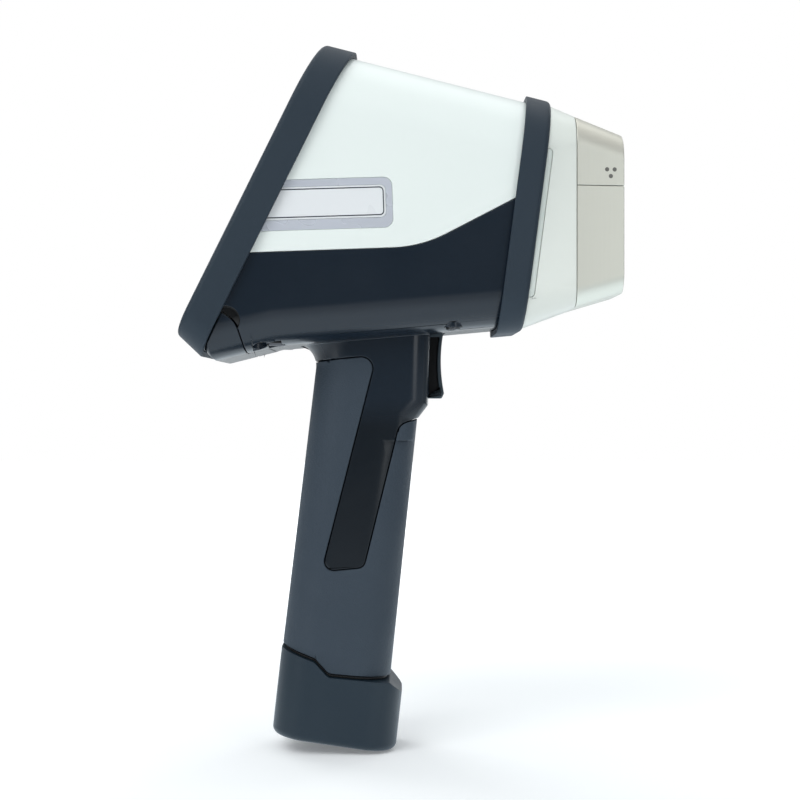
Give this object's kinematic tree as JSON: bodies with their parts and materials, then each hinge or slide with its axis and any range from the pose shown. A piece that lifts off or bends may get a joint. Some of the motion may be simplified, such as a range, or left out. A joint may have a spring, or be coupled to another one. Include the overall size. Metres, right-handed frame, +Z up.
{
  "type": "handheld xrf analyzer",
  "caption": "Pistol-shaped handheld X-ray fluorescence analyzer with metal measuring nose, rear touch display, rubber guards, sprung trigger and slide-in battery handle.",
  "frame": {"origin": "middle of the bounding box, at the lowest point of the battery foot", "axes": "+X out of the measuring nose, +Z up along the handle, +Y to the left of someone holding it"},
  "size_m": [0.1751, 0.0848, 0.2821],
  "materials": {
    "white_shell": "semi-gloss moulded",
    "dark_shell": "glossy moulded",
    "guard_rubber": "matte moulded rubber",
    "grip_rubber": "fine matte texture",
    "foot_plastic": "matte",
    "seal_rubber": "matte",
    "trigger_plastic": "satin",
    "nose_metal": "brushed satin",
    "alloy": "machined",
    "screw_steel": "plated",
    "film": "thin polymer film",
    "bezel_plastic": "matte",
    "clear_glass": "polished",
    "lcd": "display panel",
    "board": "solder-masked laminate",
    "module_metal": "powder coat",
    "tube_metal": "turned",
    "black_plastic": "matte",
    "contact_metal": "plated contacts",
    "socket_metal": "stamped",
    "pack_plastic": "matte",
    "key_rubber": "matte silicone",
    "light_plastic": "translucent",
    "label_silver": "silver foil",
    "label_white": "printed film"
  },
  "bodies": {
    "housing": {"upper_housing": "white_shell", "lower_housing_right": "dark_shell", "lower_housing_left": "dark_shell", "rear_guard": "guard_rubber", "front_guard": "guard_rubber", "grip_sleeve": "grip_rubber", "nose_cone": "white_shell", "nose_upper_shell": "nose_metal", "nose_lower_shell": "nose_metal", "window_plate": "nose_metal", "window_film": "film", "window_screws": "screw_steel", "measuring_head": "alloy", "xray_tube": "tube_metal", "high_voltage_module": "module_metal", "detector": "module_metal", "filter_motor": "module_metal", "camera": "black_plastic", "chassis_plate": "alloy", "signal_board": "board", "housing_screws": "screw_steel", "display_bezel": "bezel_plastic", "display_gasket": "seal_rubber", "cover_glass": "clear_glass", "lcd_panel": "lcd", "main_board": "board", "key_board": "board", "trigger_pin": "screw_steel", "trigger_spring": "screw_steel", "trigger_switch": "black_plastic", "contact_block": "black_plastic", "contact_pins": "contact_metal", "port_board": "board", "port_sockets": "socket_metal", "strap_bars": "screw_steel", "light_bar_right": "light_plastic", "light_bar_left": "light_plastic", "label_frame_right": "label_silver", "label_frame_left": "label_silver", "label_plate_right": "label_white", "label_plate_left": "label_white"},
    "trigger": {"trigger": "trigger_plastic"},
    "battery": {"battery_pack": "pack_plastic", "battery_foot": "foot_plastic", "battery_seal": "seal_rubber", "battery_contacts": "contact_metal", "latch_spring": "screw_steel"},
    "battery_latch": {"battery_latch": "foot_plastic"},
    "port_cover": {"port_cover": "dark_shell"},
    "power_key": {"power_key": "key_rubber"},
    "menu_key_right": {"menu_key_right": "key_rubber"},
    "menu_key_left": {"menu_key_left": "key_rubber"},
    "filter_wheel": {"filter_wheel": "alloy"}
  },
  "joints": [
    {"name": "trigger_pull", "type": "hinge", "parent": "housing", "child": "trigger", "pos_m": [0.005, 0, 0.174], "axis": [0, 1, 0], "range_deg": [0, 8], "stiffness_Nm_per_rad": 0.4, "springref_deg": -17.19, "deforming": ["trigger_spring"]},
    {"name": "battery_slide", "type": "slide", "parent": "housing", "child": "battery", "axis": [-0.1115, 0, -0.9938], "range_m": [0, 0.115]},
    {"name": "latch_press", "type": "slide", "parent": "battery", "child": "battery_latch", "axis": [-0.9938, 0, 0.1115], "range_m": [0, 0.0015], "stiffness_N_per_m": 400, "springref_m": -0.004, "deforming": ["latch_spring"]},
    {"name": "cover_pull", "type": "slide", "parent": "housing", "child": "port_cover", "axis": [-0.4446, 0, -0.8957], "range_m": [0, 0.03]},
    {"name": "power_key_press", "type": "slide", "parent": "housing", "child": "power_key", "axis": [0.8957, 0, -0.4446], "range_m": [0, 0.0006], "stiffness_N_per_m": 1000, "springref_m": -0.001},
    {"name": "menu_key_right_press", "type": "slide", "parent": "housing", "child": "menu_key_right", "axis": [0.8957, 0, -0.4446], "range_m": [0, 0.0006], "stiffness_N_per_m": 1000, "springref_m": -0.001},
    {"name": "menu_key_left_press", "type": "slide", "parent": "housing", "child": "menu_key_left", "axis": [0.8957, 0, -0.4446], "range_m": [0, 0.0006], "stiffness_N_per_m": 1000, "springref_m": -0.001},
    {"name": "filter_turn", "type": "hinge", "parent": "housing", "child": "filter_wheel", "pos_m": [0.07694, 0, 0.22797], "axis": [0.9397, 0, -0.342], "continuous": true}
  ]
}
